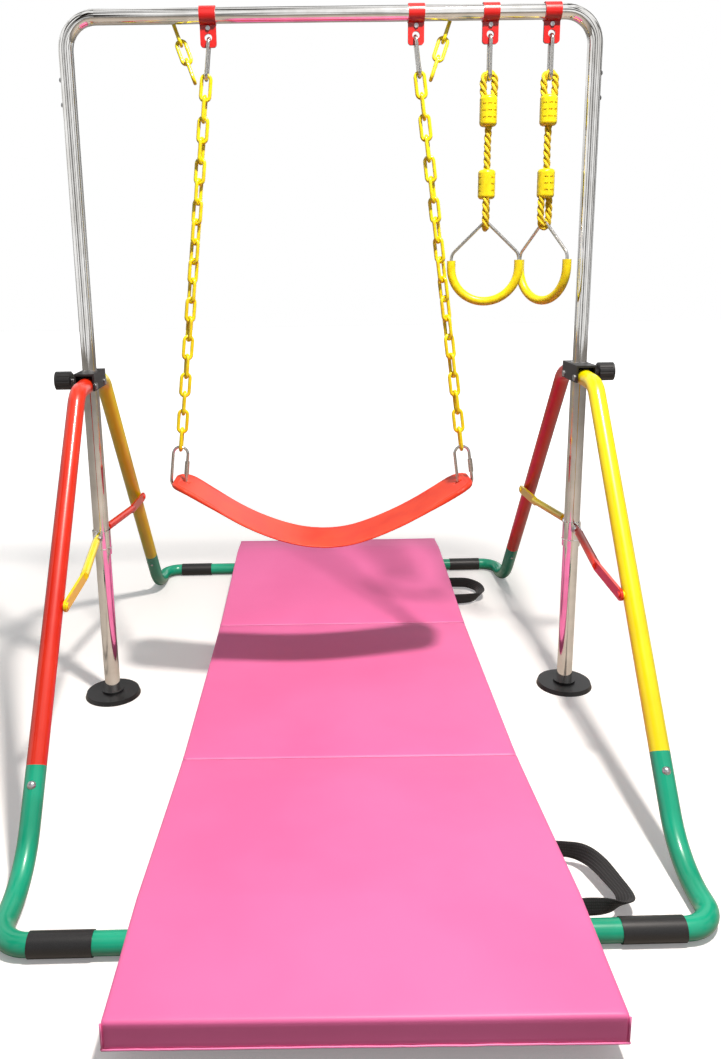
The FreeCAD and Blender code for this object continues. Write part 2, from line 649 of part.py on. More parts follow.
for (side, sign), line_x in zip(SIDES, ring_lines):
    turn = size(side + "_ring_turn")
    spot = Vector(line_x, post_y, 0)
    around = Rotation(Vector(0, 0, 1), turn)
    group(side + "_ring_carabiner", lean(snap_hook(size("eye_height")), 0, line_x))
    points, radii = rope_route(turn)
    solid(side + "_ring_rope", moved(pipe(points, radii, rope), spot))
    wide = 2 * tuck + rope + 3
    upper_bead = bead(size("upper_bead_foot"), size("upper_bead_top"), wide, rope + 0.5)
    lower_bead = bead(size("lower_bead_foot"), size("lower_bead_top"), rope + 0.5, wide)
    lower_bead = moved(lower_bead, Vector(), Rotation(Vector(0, 0, 1), turn + 90))
    group(side + "_ring_beads", [moved(upper_bead, spot), moved(lower_bead, spot)])

    reach = size("ring_radius")
    apex = Vector(0, 0, size("ring_top") + 3.6)
    shoulders = [Vector(way * reach, 0, size("ring_shoulder")) for way in (1, -1)]
    grip_ends = [Vector(way * reach, 0, size("ring_middle")) for way in (1, -1)]
    arms = route([grip_ends[0], shoulders[0], apex, shoulders[1], grip_ends[1]], [22, 10, 22])
    bow = Part.Arc(grip_ends[1], Vector(0, 0, size("ring_middle") - reach), grip_ends[0]).toShape()
    ring_loop = sweep(arms, ring_wire).fuse(sweep(Part.Wire([bow]), ring_wire)).removeSplitter()
    solid(side + "_ring_wire", moved(ring_loop, spot, around))
    grip_rise = Vector(0, 0, 14)
    straight = [cylinder(size("grip_diameter"), tip + grip_rise, tip) for tip in grip_ends]
    grip = sweep(Part.Wire([bow]), size("grip_diameter")).fuse(straight).cut(ring_loop)
    solid(side + "_ring_grip", moved(grip, spot, around))

# ---------------------------------------------------------------- folding frames
slope = math.tan(math.radians(size("leg_slant")))
leg_bore = size("leg_diameter") - 2 * wall
floor_z = size("floor_height")
SWAGE_GAP = 0.1
SWAGE_LENGTH = 12
BUSH_WALL = 3.5
BOSS_DIAMETER = 14
BOLT_DROP = 24
BOLT_HEAD = 7.5


def slant_point(height):
    """Offset from the post line of the leg's slanting axis at a height."""
    return size("knee_offset") + (size("knee_height") - height) * slope


def at(sign, facing, offset, height, shift=0):
    """A point by its offset from the post line and its height, on one side's leg plane."""
    return Vector(sign * (post_x + shift), post_y + facing * offset, height)


def leg(sign, facing):
    """A leg tube with its hinge bush at the top and its swaged spigot at the foot."""
    joint = size("leg_joint_height")
    rim = 10
    top = at(sign, facing, size("hinge_offset"), size("hinge_height"))
    knee = at(sign, facing, size("knee_offset"), size("knee_height"))
    foot = at(sign, facing, slant_point(joint), joint)
    inward = (top - knee).normalize()
    line = [top + inward * rim, knee, foot]
    shape = pipe(line, [size("knee_radius")], size("leg_diameter"), leg_bore)
    down = (foot - knee).normalize()
    swage = leg_bore - 2 * SWAGE_GAP
    spigot = cylinder(swage, foot - down * SWAGE_LENGTH, foot + down * size("leg_spigot"))
    shoulder = cylinder(leg_bore + wall, foot - down * SWAGE_LENGTH, foot - down * 2)
    hollow_end = size("leg_spigot") + 2
    hollow = cylinder(swage - 2 * wall, foot - down * (SWAGE_LENGTH + 2), foot + down * hollow_end)
    shape = shape.fuse([spigot, shoulder]).cut(hollow)
    across = Vector(size("leg_diameter") / 2 - 0.8, 0, 0)
    bush = cylinder(size("hinge_pin") + 2 * BUSH_WALL, top - across, top + across)
    reach = Vector(size("leg_diameter"), 0, 0)
    bore = cylinder(size("hinge_pin") + 2 * size("running_gap"), top - reach, top + reach)
    boss_at = at(sign, facing, slant_point(size("link_joint_height")), size("link_joint_height"))
    inner = Vector(-sign, 0, 0)
    skin = size("leg_diameter") / 2
    boss = cylinder(BOSS_DIAMETER, boss_at + inner * (skin - 3), boss_at + inner * (skin + size("boss_rise")))
    boss = boss.cut(cylinder(leg_bore, boss_at - down * SWAGE_LENGTH, boss_at + down * SWAGE_LENGTH))
    return shape.fuse([bush, boss]).cut(bore).removeSplitter()


for end, facing in ENDS:
    for side, sign in SIDES:
        solid(f"{end}_{side}_leg", leg(sign, facing))

    joint = size("leg_joint_height")
    half_route = []
    for side, sign in SIDES:
        start = at(sign, facing, slant_point(joint), joint)
        low = at(sign, facing, slant_point(floor_z), floor_z)
        corner = at(sign, facing, size("base_half_depth"), floor_z)
        half_route.append([start, low, corner])
    line = half_route[0] + half_route[1][::-1]
    bends = [size("low_bend_radius"), size("corner_radius"), size("corner_radius"), size("low_bend_radius")]
    floor_tube = pipe(line, bends, size("leg_diameter"), leg_bore)
    bolts = []
    for side, sign in SIDES:
        spot = at(sign, facing, slant_point(joint - BOLT_DROP), joint - BOLT_DROP)
        slant = math.radians(size("leg_slant"))
        out = Vector(0, facing * math.cos(slant), math.sin(slant))
        along = Vector(0, out.z, -out.y) * size("leg_diameter")
        skin = size("leg_diameter") / 2
        bolt_hole = cylinder(size("leg_bolt"), spot - out * 2 * skin, spot + out * 2 * skin)
        floor_tube = floor_tube.cut(bolt_hole)
        leg_item = [item for item in nodes if item.Label == f"{end}_{side}_leg"][0]
        leg_item.Shape = leg_item.Shape.cut(bolt_hole)
        shank = cylinder(size("leg_bolt"), spot - out * (skin + 2), spot + out * (skin + 1))
        dome = Part.makeSphere(BOLT_HEAD, spot + out * (skin - 3.4))
        dome = dome.common(cylinder(4 * BOLT_HEAD, spot + out * (skin - 0.6), spot + out * 3 * skin))
        dome = dome.cut(cylinder(size("leg_diameter"), spot - along, spot + along))
        bolts.append(shank.fuse(dome).removeSplitter())
    solid(end + "_floor_tube", floor_tube)
    group(end + "_leg_bolts", bolts)
    sleeves = []
    for side, sign in SIDES:
        base_y = post_y + facing * size("base_half_depth")
        ends_x = [sign * (size("sleeve_offset") + way * size("sleeve_length") / 2) for way in (-1, 1)]
        first, last = [Vector(end_x, base_y, floor_z) for end_x in ends_x]
        outer = cylinder(size("sleeve_diameter"), first, last)
        sleeves.append(outer.cut(cylinder(size("leg_diameter"), first, last)))
    group(end + "_floor_sleeves", sleeves)

# ---------------------------------------------------------------- collars and spreader links
ear = size("ear_thickness")
tongue = size("tongue_thickness")
link_y = slant_point(size("link_joint_height"))
link_run = math.hypot(link_y - size("ear_offset"), size("ear_height") - size("link_joint_height"))
link_drop = math.atan2(size("ear_height") - size("link_joint_height"), link_y - size("ear_offset"))


TONGUE_END = 22
TONGUE_WIDTH = 16
FLAT_WIDTH = 20
FLAT_LAP = 14
PLATE_GAP = 0.4
PIN_HEAD = 3


def spreader():
    """A link along +X from its collar pivot: tongue, round tube, then a long flattened end."""
    flat_from = link_run - size("link_flat_length")
    shift = size("link_flat_shift")
    half_tongue = TONGUE_WIDTH / 2
    half_flat = FLAT_WIDTH / 2
    inner_tip = Part.makeCylinder(half_tongue, tongue, Vector(0, -tongue / 2, 0), Vector(0, 1, 0))
    inner_bar = Part.makeBox(TONGUE_END, tongue, TONGUE_WIDTH, Vector(0, -tongue / 2, -half_tongue))
    first = Vector(TONGUE_END - 6, 0, 0)
    last = Vector(flat_from, shift, 0)
    heading = (last - first).normalize()
    round_part = cylinder(size("link_diameter"), first + heading * 6, last - heading * 6)
    flat = Part.makeBox(link_run - flat_from + FLAT_LAP, tongue, FLAT_WIDTH,
                        Vector(flat_from - FLAT_LAP, shift - tongue / 2, -half_flat))
    tip = Part.makeCylinder(half_flat, tongue, Vector(link_run, shift - tongue / 2, 0), Vector(0, 1, 0))
    shape = round_part.fuse([inner_tip, inner_bar, flat, tip])
    pin_bore = size("link_pin") / 2 + size("running_gap")
    pivot = Part.makeCylinder(pin_bore, 2 * tongue, Vector(0, -tongue, 0), Vector(0, 1, 0))
    rivet = Part.makeCylinder(6, 2.5, Vector(link_run, shift + tongue / 2, 0), Vector(0, 1, 0))
    return shape.cut(pivot).fuse(rivet).removeSplitter()


for side, sign in SIDES:
    centre = Vector(sign * post_x, post_y, 0)
    low = centre + Vector(0, 0, size("collar_foot"))
    high = centre + Vector(0, 0, size("collar_top"))
    shape = cylinder(size("collar_diameter"), low, high)
    bead_ring = Part.makeTorus(size("collar_diameter") / 2 - 0.5, 1.5, low + Vector(0, 0, 14))
    shape = shape.fuse(bead_ring)
    collar_pins = []
    for end, facing in ENDS:
        pivot = Vector(sign * post_x, post_y + facing * size("ear_offset"), size("ear_height"))
        for way in (-1, 1):
            plate_x = pivot.x + way * (tongue / 2 + PLATE_GAP + ear / 2) - ear / 2
            disc = Part.makeCylinder(TONGUE_WIDTH / 2, ear, Vector(plate_x, pivot.y, pivot.z), Vector(1, 0, 0))
            arm_y = sorted((post_y + facing * (size("post_diameter") / 2 + 1), pivot.y))
            arm = Part.makeBox(ear, arm_y[1] - arm_y[0], TONGUE_WIDTH,
                               Vector(plate_x, arm_y[0], pivot.z - TONGUE_WIDTH / 2))
            shape = shape.fuse([disc, arm])
        reach = Vector(tongue / 2 + PLATE_GAP + ear, 0, 0)
        head = Vector(PIN_HEAD, 0, 0)
        shape = shape.cut(cylinder(size("link_pin"), pivot - reach - head, pivot + reach + head))
        shank = cylinder(size("link_pin"), pivot - reach, pivot + reach)
        heads = [cylinder(size("link_pin") + 4, pivot + (reach * way), pivot + (reach + head) * way)
                 for way in (-1, 1)]
        collar_pins.append(shank.fuse(heads).removeSplitter())
    bore = cylinder(size("post_diameter") + 2 * size("fit_gap"), low - Vector(0, 0, 1), high + Vector(0, 0, 1))
    solid(side + "_collar", shape.cut(bore).removeSplitter())
    group(side + "_collar_pins", collar_pins)

for end, facing in ENDS:
    for side, sign in SIDES:
        # local +X runs from the post to the leg, local +Y is towards the middle of the bar
        handed = spreader()
        if sign * facing < 0:
            handed = handed.mirror(Vector(), Vector(0, 1, 0))
        pitch_down = Rotation(Vector(0, 1, 0), math.degrees(link_drop))
        outward = Rotation(Vector(0, 0, 1), 90 * facing)
        pivot = Vector(sign * post_x, post_y + facing * size("ear_offset"), size("ear_height"))
        solid(f"{end}_{side}_link", moved(handed, pivot, outward.multiply(pitch_down)))

# ---------------------------------------------------------------- tri-fold mat
panel = size("panel_length")
gap = size("panel_gap")
thick = size("mat_thickness")
rise = size("sleeve_diameter") / 2 + size("leg_diameter") / 2 + size("mat_rise_gap")
mat_turn = Rotation(Vector(0, 0, 1), size("mat_turn"))
mat_spot = Vector(size("mat_x"), 0, 0)


def mat_solid(label, outline):
    """Extrude a panel's side outline, given as (Y, Z) pairs, across the mat."""
    start = -size("mat_width") / 2
    corners = [Vector(start, y, z) for y, z in outline]
    face = Part.Face(Part.makePolygon(corners + corners[:1]))
    slab = face.extrude(Vector(size("mat_width"), 0, 0))
    solid(label, moved(slab, mat_spot, mat_turn))


def end_panel(label, facing, tube_y, tip_drop):
    """A panel that climbs from the crease on to the floor tube and sags a little past it."""
    crease = facing * (panel / 2 + gap)
    tip = facing * (panel * 1.5)
    over = tube_y - facing * size("leg_diameter") / 2
    past = tube_y + facing * size("leg_diameter") / 2
    outline = [(crease, 0), (crease, thick), (over, rise + thick), (past, rise + thick),
               (tip, rise + thick - tip_drop), (tip, rise - tip_drop), (past, rise), (over, rise)]
    mat_solid(label, outline)


mat_solid("mat_middle_panel", [(-panel / 2, 0), (panel / 2, 0), (panel / 2, thick), (-panel / 2, thick)])
end_panel("mat_front_panel", -1, post_y - size("base_half_depth"), size("front_tip_drop"))
end_panel("mat_rear_panel", 1, post_y + size("base_half_depth"), size("rear_tip_drop"))


def handle(label, middle_y, foot_z):
    """A webbing loop that lies beside the mat, both ends meeting its side."""
    edge_x = size("mat_width") / 2
    reach = size("handle_reach")
    span = size("handle_span") / 2
    points = [Vector(edge_x, middle_y - span, 0), Vector(edge_x + reach * 0.6, middle_y - span, 0),
              Vector(edge_x + reach, middle_y - span / 2, 0), Vector(edge_x + reach, middle_y + span / 2, 0),
              Vector(edge_x + reach * 0.6, middle_y + span, 0), Vector(edge_x, middle_y + span, 0)]
    line = route(points, [14, 14, 14, 14])
    first = points[0]
    profile = Part.makePolygon([first + Vector(0, way * size("handle_thickness") / 2, foot_z + height)
                                for way, height in ((-1, 0), (1, 0), (1, size("handle_width")),
                                                    (-1, size("handle_width")), (-1, 0))])
    strap_shape = line.makePipeShell([profile], True, False)
    solid(label, moved(strap_shape, mat_spot, mat_turn))


handle("mat_front_handle", size("front_handle_y"), size("front_handle_foot"))
handle("mat_rear_handle", size("rear_handle_y"), size("rear_handle_foot"))

# ---------------------------------------------------------------- checks and files
doc.recompute()
for item in doc.Objects:
    if "Invalid" in item.State or "Error" in item.State:
        raise RuntimeError(f"{item.Label} did not compute")
os.makedirs("parts", exist_ok=True)
for item in nodes:
    if item.Shape.isNull() or not item.Shape.isValid():
        raise RuntimeError(f"{item.Label} has no valid shape")
for item in nodes:
    item.Shape.exportStep(f"parts/{item.Label}.step")
    box = item.Shape.BoundBox
    print(f"{item.Label:24s} solids {len(item.Shape.Solids):2d}  volume {item.Shape.Volume / 1000:9.2f}  "
          f"x {box.XMin:7.1f} {box.XMax:7.1f}  y {box.YMin:7.1f} {box.YMax:7.1f}  "
          f"z {box.ZMin:7.1f} {box.ZMax:7.1f}")
print(len(nodes), "nodes")
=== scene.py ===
"""Folding kip bar with a belt swing, two rings and a tri-fold mat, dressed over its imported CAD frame.

Everything is in metres in the frame's own axes: X across the bar, Y to the back, Z up.
"""
import math
import random

import bmesh
import bpy
from mathutils import Matrix, Vector


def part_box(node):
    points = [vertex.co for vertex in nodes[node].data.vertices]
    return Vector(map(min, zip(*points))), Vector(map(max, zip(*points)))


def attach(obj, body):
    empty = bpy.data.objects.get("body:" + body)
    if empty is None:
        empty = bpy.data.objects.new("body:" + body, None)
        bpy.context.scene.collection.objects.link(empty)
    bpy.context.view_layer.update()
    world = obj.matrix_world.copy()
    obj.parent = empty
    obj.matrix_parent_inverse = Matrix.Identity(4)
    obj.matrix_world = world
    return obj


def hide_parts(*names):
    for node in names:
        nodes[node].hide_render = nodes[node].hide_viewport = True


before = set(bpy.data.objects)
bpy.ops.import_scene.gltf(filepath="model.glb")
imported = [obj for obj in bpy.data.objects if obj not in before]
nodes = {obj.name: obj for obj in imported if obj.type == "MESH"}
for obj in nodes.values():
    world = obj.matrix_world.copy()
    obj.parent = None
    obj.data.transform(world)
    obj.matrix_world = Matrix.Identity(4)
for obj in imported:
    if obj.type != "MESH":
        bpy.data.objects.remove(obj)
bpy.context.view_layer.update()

scene = bpy.context.scene
MM = 0.001
POST_LINE = 0.0325
UP = Vector((0, 0, 1))


# ---------------------------------------------------------------- camera
CAMERA_PLACE = Vector((-0.0505, -1.7635, 0.9156))
CAMERA_PITCH = math.radians(12.916)
CAMERA_YAW = math.radians(-0.700)
CAMERA_ROLL = math.radians(-0.901)


def add_camera():
    """Standing in front, a little left of the middle, looking slightly down."""
    camera = bpy.data.objects.new("camera", bpy.data.cameras.new("camera"))
    scene.collection.objects.link(camera)
    level = math.cos(CAMERA_PITCH)
    ahead = Vector((-math.sin(CAMERA_YAW) * level, math.cos(CAMERA_YAW) * level, -math.sin(CAMERA_PITCH)))
    right = Vector((math.cos(CAMERA_YAW), math.sin(CAMERA_YAW), 0))
    upward = right.cross(ahead)
    rolled_right = right * math.cos(CAMERA_ROLL) + upward * math.sin(CAMERA_ROLL)
    rolled_up = upward * math.cos(CAMERA_ROLL) - right * math.sin(CAMERA_ROLL)
    turn = Matrix((rolled_right, rolled_up, -ahead)).transposed()
    camera.matrix_world = Matrix.Translation(CAMERA_PLACE) @ turn.to_4x4()
    camera.data.sensor_width = 36
    camera.data.lens = 30.25
    camera.data.shift_x = 0.0356
    camera.data.shift_y = -0.0601
    camera.data.clip_end = 60
    scene.camera = camera


add_camera()


# ---------------------------------------------------------------- materials
def linear(colour):
    """An sRGB hex colour as linear red, green, blue and alpha."""
    parts = [int(colour[start:start + 2], 16) / 255 for start in (1, 3, 5)]
    return [part / 12.92 if part <= 0.04045 else ((part + 0.055) / 1.055) ** 2.4 for part in parts] + [1.0]


def add(tree, kind, inputs=None, **settings):
    """Add a node with its settings, and its inputs as values or as links from other nodes' sockets."""
    item = tree.nodes.new(kind)
    for name, value in settings.items():
        setattr(item, name, value)
    for name, value in (inputs or {}).items():
        if isinstance(value, bpy.types.NodeSocket):
            tree.links.new(value, item.inputs[name])
        else:
            item.inputs[name].default_value = value
    return item


def surface(name, **sockets):
    """A material with one Principled shader whose uniform values sit on its own sockets."""
    material = bpy.data.materials.new(name)
    material.use_nodes = True
    tree = material.node_tree
    shader = tree.nodes["Principled BSDF"]
    for socket, value in sockets.items():
        shader.inputs[socket.replace("_", " ")].default_value = value
    place = add(tree, "ShaderNodeTexCoord").outputs["Object"]
    return material, tree, shader, place


def per_metre(millimetres):
    """A texture scale whose features are this many millimetres across."""
    return 1000 / millimetres


def two_tone(tree, shader, factor, low, high, low_at=0.35, high_at=0.65):
    """Base colour that drifts between two colours with a texture's value."""
    ramp = add(tree, "ShaderNodeValToRGB", {"Fac": factor})
    ramp.color_ramp.elements[0].position = low_at
    ramp.color_ramp.elements[0].color = linear(low)
    ramp.color_ramp.elements[1].position = high_at
    ramp.color_ramp.elements[1].color = linear(high)
    tree.links.new(ramp.outputs["Color"], shader.inputs["Base Color"])


def rough_between(tree, shader, factor, low, high):
    """Roughness that drifts between two values with a texture's value."""
    spread = add(tree, "ShaderNodeMapRange", {"Value": factor, "To Min": low, "To Max": high})
    tree.links.new(spread.outputs["Result"], shader.inputs["Roughness"])


def bump(tree, shader, height, distance, strength=1.0):
    """Surface relief of a height in metres."""
    relief = add(tree, "ShaderNodeBump", {"Height": height, "Distance": distance, "Strength": strength})
    tree.links.new(relief.outputs["Normal"], shader.inputs["Normal"])
    return relief


def chrome_plate():
    """Chromed steel tube: mirror-bright, with the faint waviness of drawn tube under the plate."""
    material, tree, shader, place = surface("chrome_plated_steel", Metallic=1.0)
    film = add(tree, "ShaderNodeTexNoise", {"Vector": place, "Scale": per_metre(40), "Detail": 3})
    two_tone(tree, shader, film.outputs["Fac"], "#dbd9d5", "#edecea")
    rough_between(tree, shader, film.outputs["Fac"], 0.05, 0.09)
    wave = add(tree, "ShaderNodeTexNoise", {"Vector": place, "Scale": per_metre(60), "Detail": 0})
    bump(tree, shader, wave.outputs["Fac"], 0.1 * MM, 0.4)
    return material


def bright_wire():
    """Drawn steel wire and nickel-plated hardware: bright, greyer than chrome, lightly brushed."""
    material, tree, shader, place = surface("nickel_plated_wire", Metallic=1.0)
    grit = add(tree, "ShaderNodeTexNoise", {"Vector": place, "Scale": per_metre(2.5), "Detail": 4})
    two_tone(tree, shader, grit.outputs["Fac"], "#b4b2ae", "#d6d4d0")
    rough_between(tree, shader, grit.outputs["Fac"], 0.12, 0.26)
    bump(tree, shader, grit.outputs["Fac"], 0.05 * MM, 0.5)
    return material


def zinc_plate():
    """Zinc-plated screws, pins and rivets: bright grey with a soft mottle."""
    material, tree, shader, place = surface("zinc_plated_steel", Metallic=1.0)
    mottle = add(tree, "ShaderNodeTexNoise", {"Vector": place, "Scale": per_metre(4), "Detail": 3})
    two_tone(tree, shader, mottle.outputs["Fac"], "#9b9da0", "#c8cacd")
    rough_between(tree, shader, mottle.outputs["Fac"], 0.22, 0.4)
    bump(tree, shader, mottle.outputs["Fac"], 0.04 * MM, 0.5)
    return material


def powder_coat(name, low, high):
    """Gloss powder coat on steel: a flowed film whose orange peel, about 1 mm, is drawn at 3 mm to show."""
    material, tree, shader, place = surface(name, Coat_Weight=0.35, Coat_Roughness=0.12)
    drift = add(tree, "ShaderNodeTexNoise", {"Vector": place, "Scale": per_metre(90), "Detail": 2})
    two_tone(tree, shader, drift.outputs["Fac"], low, high)
    rough_between(tree, shader, drift.outputs["Fac"], 0.26, 0.36)
    peel = add(tree, "ShaderNodeTexNoise", {"Vector": place, "Scale": per_metre(3), "Detail": 2})
    bump(tree, shader, peel.outputs["Fac"], 0.06 * MM, 0.55)
    return material


def moulded_black():
    """Injection-moulded black plastic: a fine spark-eroded grain, 0.5 mm, drawn at 1.2 mm to show."""
    material, tree, shader, place = surface("moulded_black_plastic")
    grain = add(tree, "ShaderNodeTexNoise", {"Vector": place, "Scale": per_metre(1.2), "Detail": 3})
    two_tone(tree, shader, grain.outputs["Fac"], "#121213", "#222224")
    rough_between(tree, shader, grain.outputs["Fac"], 0.34, 0.5)
    bump(tree, shader, grain.outputs["Fac"], 0.08 * MM, 0.6)
    return material


def moulded_rubber():
    """Moulded rubber foot: black, matt, with a dusty bloom in broad patches."""
    material, tree, shader, place = surface("moulded_black_rubber")
    bloom = add(tree, "ShaderNodeTexNoise", {"Vector": place, "Scale": per_metre(30), "Detail": 5})
    two_tone(tree, shader, bloom.outputs["Fac"], "#0d0d0e", "#1e1e20")
    rough_between(tree, shader, bloom.outputs["Fac"], 0.3, 0.52)
    grain = add(tree, "ShaderNodeTexNoise", {"Vector": place, "Scale": per_metre(1.5), "Detail": 2})
    bump(tree, shader, grain.outputs["Fac"], 0.07 * MM, 0.5)
    return material


def dipped_vinyl():
    """Soft vinyl dipped over a steel chain: thick, glossy, a little uneven where it ran, amber where thin."""
    material, tree, shader, place = surface("vinyl_dipped_chain", Coat_Weight=0.25, Coat_Roughness=0.1)
    run = add(tree, "ShaderNodeTexNoise", {"Vector": place, "Scale": per_metre(14), "Detail": 2})
    two_tone(tree, shader, run.outputs["Fac"], "#f4d000", "#fff012", 0.25, 0.55)
    rough_between(tree, shader, run.outputs["Fac"], 0.24, 0.36)
    lump = add(tree, "ShaderNodeTexNoise", {"Vector": place, "Scale": per_metre(5), "Detail": 2})
    bump(tree, shader, lump.outputs["Fac"], 0.25 * MM, 0.5)
    return material


def moulded_yellow():
    """Injection-moulded yellow plastic: even colour, satin gloss, slight sink ripple."""
    material, tree, shader, place = surface("moulded_yellow_plastic", Coat_Weight=0.15, Coat_Roughness=0.2)
    ripple = add(tree, "ShaderNodeTexNoise", {"Vector": place, "Scale": per_metre(9), "Detail": 2})
    two_tone(tree, shader, ripple.outputs["Fac"], "#f4dc00", "#fff012")
    rough_between(tree, shader, ripple.outputs["Fac"], 0.3, 0.42)
    bump(tree, shader, ripple.outputs["Fac"], 0.15 * MM, 0.4)
    return material


def moulded_belt():
    """Moulded EVA belt: orange red, waxy semi-gloss, a fine skin texture with faint flow marks."""
    material, tree, shader, place = surface("moulded_eva_belt", Coat_Weight=0.1, Coat_Roughness=0.3)
    flow = add(tree, "ShaderNodeTexNoise", {"Vector": place, "Scale": per_metre(60), "Detail": 3})
    two_tone(tree, shader, flow.outputs["Fac"], "#e83410", "#f44a24")
    rough_between(tree, shader, flow.outputs["Fac"], 0.34, 0.46)
    skin = add(tree, "ShaderNodeTexNoise", {"Vector": place, "Scale": per_metre(1.6), "Detail": 3})
    bump(tree, shader, skin.outputs["Fac"], 0.06 * MM, 0.5)
    return material


def coated_cover(name, low, high):
    """Vinyl-coated mat cover: a fine leather grain, 1 mm, drawn at 2.4 mm to show, over slow slack waves."""
    material, tree, shader, place = surface(name, Sheen_Weight=0.08, Sheen_Roughness=0.4)
    drift = add(tree, "ShaderNodeTexNoise", {"Vector": place, "Scale": per_metre(240), "Detail": 3})
    two_tone(tree, shader, drift.outputs["Fac"], low, high)
    rough_between(tree, shader, drift.outputs["Fac"], 0.4, 0.54)
    cell = add(tree, "ShaderNodeTexVoronoi", {"Vector": place, "Scale": per_metre(2.4)},
               feature="DISTANCE_TO_EDGE")
    slack = add(tree, "ShaderNodeTexNoise", {"Vector": place, "Scale": per_metre(70), "Detail": 4})
    waves = bump(tree, shader, slack.outputs["Fac"], 0.8 * MM, 0.22)
    grain = add(tree, "ShaderNodeBump", {"Height": cell.outputs["Distance"], "Distance": 0.1 * MM,
                                         "Strength": 0.35, "Normal": waves.outputs["Normal"]})
    tree.links.new(grain.outputs["Normal"], shader.inputs["Normal"])
    return material


def ribbed_webbing():
    """Woven polypropylene webbing: black ribs across the strap. They are really 1.6 mm apart and
    are drawn 2.6 mm apart, the closest that still shows."""
    drawn_apart = 2.6 * MM
    wave_repeat = math.pi / 10
    fineness = wave_repeat / drawn_apart
    material, tree, shader, place = surface("woven_black_webbing", Sheen_Weight=0.2, Sheen_Roughness=0.5)
    strip = add(tree, "ShaderNodeUVMap", uv_map="strip").outputs["UV"]
    rib = add(tree, "ShaderNodeTexWave", {"Vector": strip, "Scale": fineness, "Detail": 0},
              wave_type="BANDS", bands_direction="X")
    thread = add(tree, "ShaderNodeTexWave", {"Vector": strip, "Scale": fineness, "Detail": 0},
                 wave_type="BANDS", bands_direction="Y")
    weave = add(tree, "ShaderNodeMath", {0: rib.outputs["Fac"], 1: thread.outputs["Fac"]},
                operation="MULTIPLY")
    two_tone(tree, shader, weave.outputs["Value"], "#08080a", "#2c2c30", 0.1, 0.9)
    shader.inputs["Roughness"].default_value = 0.72
    bump(tree, shader, weave.outputs["Value"], 0.5 * MM, 0.8)
    return material


def twisted_rope():
    """Polypropylene rope: yellow strands of bright filaments that run along each strand."""
    material, tree, shader, place = surface("twisted_yellow_rope", Sheen_Weight=0.1, Sheen_Roughness=0.4)
    strip = add(tree, "ShaderNodeUVMap", uv_map="strip").outputs["UV"]
    thread = add(tree, "ShaderNodeTexWave", {"Vector": strip, "Scale": 60, "Distortion": 1.5,
                                             "Detail": 2, "Detail Scale": 2}, bands_direction="Y")
    two_tone(tree, shader, thread.outputs["Fac"], "#e6bc00", "#ffe81c", 0.05, 0.6)
    shader.inputs["Roughness"].default_value = 0.5
    bump(tree, shader, thread.outputs["Fac"], 0.3 * MM, 0.6)
    return material


def pale_floor():
    """Smooth pale studio floor, shown white but giving back little light, like a floor further off."""
    material, tree, shader, place = surface("pale_studio_floor")
    drift = add(tree, "ShaderNodeTexNoise", {"Vector": place, "Scale": per_metre(600), "Detail": 2})
    paths = add(tree, "ShaderNodeLightPath")
    seen = paths.outputs["Is Camera Ray"]
    pale = add(tree, "ShaderNodeMixRGB", {"Fac": drift.outputs["Fac"], "Color1": linear("#f6f6f6"),
                                          "Color2": linear("#fcfcfc")})
    bounce = add(tree, "ShaderNodeMixRGB", {"Fac": paths.outputs["Is Glossy Ray"],
                                            "Color1": linear("#54463c"), "Color2": linear("#c8bfb4")})
    tone = add(tree, "ShaderNodeMixRGB", {"Fac": seen, "Color1": bounce.outputs["Color"],
                                          "Color2": pale.outputs["Color"]})
    tree.links.new(tone.outputs["Color"], shader.inputs["Base Color"])
    shader.inputs["Roughness"].default_value = 0.6
    reach = add(tree, "ShaderNodeVectorMath", {0: place}, operation="LENGTH").outputs["Value"]
    glow = add(tree, "ShaderNodeMapRange", {"Value": reach, "From Min": 0.8, "From Max": 3.2,
                                            "To Min": 0.18, "To Max": 1.0}).outputs["Result"]
    shown = add(tree, "ShaderNodeMath", {0: glow, 1: seen}, operation="MULTIPLY").outputs["Value"]
    tree.links.new(shown, shader.inputs["Emission Strength"])
    shader.inputs["Emission Color"].default_value = linear("#ffffff")
    return material


CHROME = chrome_plate()
WIRE = bright_wire()
ZINC = zinc_plate()
RED = powder_coat("red_powder_coat", "#dc2408", "#ea3416")
YELLOW = powder_coat("yellow_powder_coat", "#f8e400", "#fff000")
GREEN = powder_coat("green_powder_coat", "#00a07a", "#00b48c")
HANGER_RED = powder_coat("hanger_red_powder_coat", "#c80c0a", "#dc180e")
BLACK = moulded_black()
RUBBER = moulded_rubber()
CHAIN = dipped_vinyl()
MOULDED_YELLOW = moulded_yellow()
BELT = moulded_belt()
COVER = coated_cover("pink_vinyl_cover", "#f472b0", "#fa7ab8")
PIPING = coated_cover("pink_vinyl_piping", "#f888c0", "#fd96ca")
WEBBING = ribbed_webbing()
ROPE = twisted_rope()

